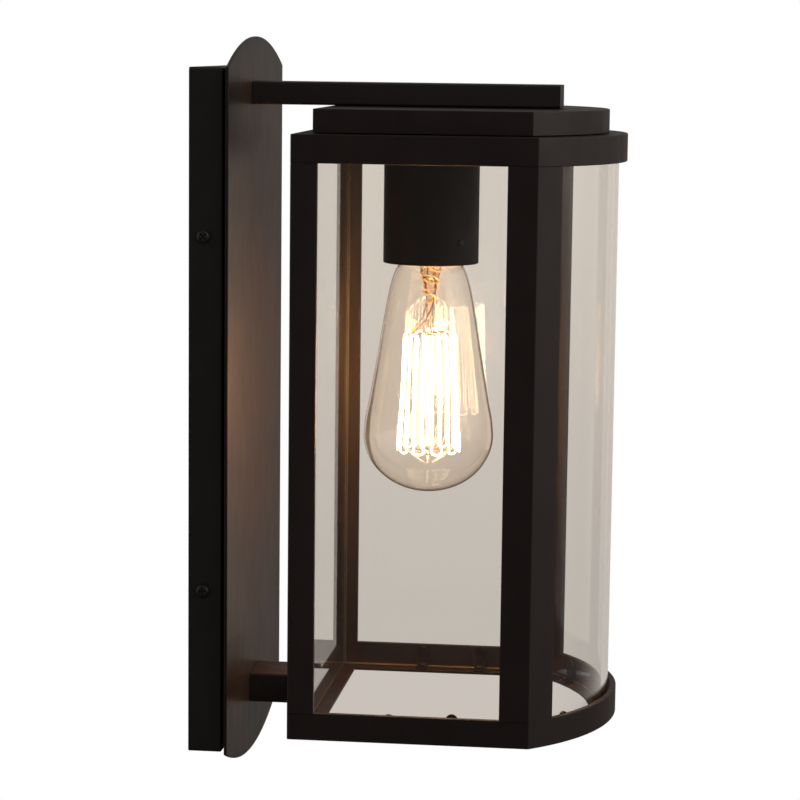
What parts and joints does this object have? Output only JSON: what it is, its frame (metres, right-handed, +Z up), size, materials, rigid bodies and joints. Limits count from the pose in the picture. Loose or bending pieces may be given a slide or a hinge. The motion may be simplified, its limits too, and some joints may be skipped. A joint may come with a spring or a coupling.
{
  "type": "outdoor wall lantern",
  "caption": "Black steel wall lantern with flat glass sides, a bowed glass front and an open bottom, hung by two flat arms from an arched wall plate over a screw-in lamp.",
  "frame": {"origin": "centre of the mounting bracket's back face, which lies on the wall", "axes": "+Z up, +Y into the wall, so the lantern stands out along -Y; +X to the right for a person facing the light"},
  "size_m": [0.16, 0.2013, 0.3548],
  "materials": {
    "black_paint": "satin black powder coat with a faint bronze tint",
    "black_screw": "black-coated steel screw",
    "zinc_steel": "bright zinc plate",
    "green_screw": "green-dyed zinc plate",
    "brass": "pressed brass, lightly dulled",
    "solder": "tinned solder",
    "support_wire": "heat-tinted molybdenum wire",
    "hot_filament": "incandescent tungsten, lit",
    "clear_glass": "clear float glass",
    "lamp_glass": "clear glass with a light amber tint",
    "black_glass": "black vitrite glass",
    "porcelain": "glazed white porcelain",
    "foam_rubber": "closed-cell foam strip",
    "white_nylon": "moulded nylon",
    "black_insulation": "black wire insulation",
    "white_insulation": "white wire insulation"
  },
  "bodies": {
    "lantern": {"mounting_bracket": "zinc_steel", "wall_gasket": "foam_rubber", "back_box": "black_paint", "face_plate": "black_paint", "terminal_block": "white_nylon", "ground_screw": "green_screw", "upper_arm": "black_paint", "upper_arm_insert": "zinc_steel", "upper_arm_end_cap": "black_paint", "lower_arm": "black_paint", "lower_arm_insert": "zinc_steel", "lower_arm_bolt": "zinc_steel", "bottom_frame": "black_paint", "top_frame": "black_paint", "roof_cap": "black_paint", "rear_glass": "clear_glass", "front_glass": "clear_glass", "socket_cover": "black_paint", "lamp_holder": "porcelain", "holder_yoke": "zinc_steel", "screw_shell": "brass", "centre_contact": "brass", "threaded_nipple": "zinc_steel", "nipple_nut_upper": "zinc_steel", "nipple_nut_lower": "zinc_steel", "cover_screw": "black_screw", "lead_live": "black_insulation", "lead_neutral": "white_insulation", "box_screw_left_lower": "black_screw", "box_screw_left_upper": "black_screw", "upper_arm_bolt_left": "zinc_steel", "rear_post_left": "black_paint", "front_post_left": "black_paint", "side_glass_left": "clear_glass", "box_screw_right_lower": "black_screw", "box_screw_right_upper": "black_screw", "upper_arm_bolt_right": "zinc_steel", "rear_post_right": "black_paint", "front_post_right": "black_paint", "side_glass_right": "clear_glass", "glass_clip_left_rear": "black_paint", "clip_screw_left_rear": "black_screw", "glass_clip_left_front": "black_paint", "clip_screw_left_front": "black_screw", "glass_clip_right_rear": "black_paint", "clip_screw_right_rear": "black_screw", "glass_clip_right_front": "black_paint", "clip_screw_right_front": "black_screw", "glass_clip_bow_left": "black_paint", "clip_screw_bow_left": "black_screw", "glass_clip_bow_right": "black_paint", "clip_screw_bow_right": "black_screw"},
    "bulb_seat": {"bulb_contact": "solder"},
    "bulb": {"bulb_glass": "lamp_glass", "bulb_cap": "brass", "bulb_insulator": "black_glass", "bulb_stem": "lamp_glass", "bulb_upper_spider": "support_wire", "bulb_lower_spider": "support_wire", "bulb_filament": "hot_filament"}
  },
  "joints": [
    {"name": "bulb_travel", "type": "slide", "parent": "lantern", "child": "bulb_seat", "axis": [0, 0, -1], "range_m": [0, 0.0128]},
    {"name": "bulb_turn", "type": "hinge", "parent": "bulb_seat", "child": "bulb", "pos_m": [0, -0.1065, 0], "axis": [0, 0, -1], "range_deg": [0, 1260]}
  ],
  "couplings": [
    {"joint": "bulb_travel", "follows": "bulb_turn", "m_per_rad": 0.00057757}
  ]
}
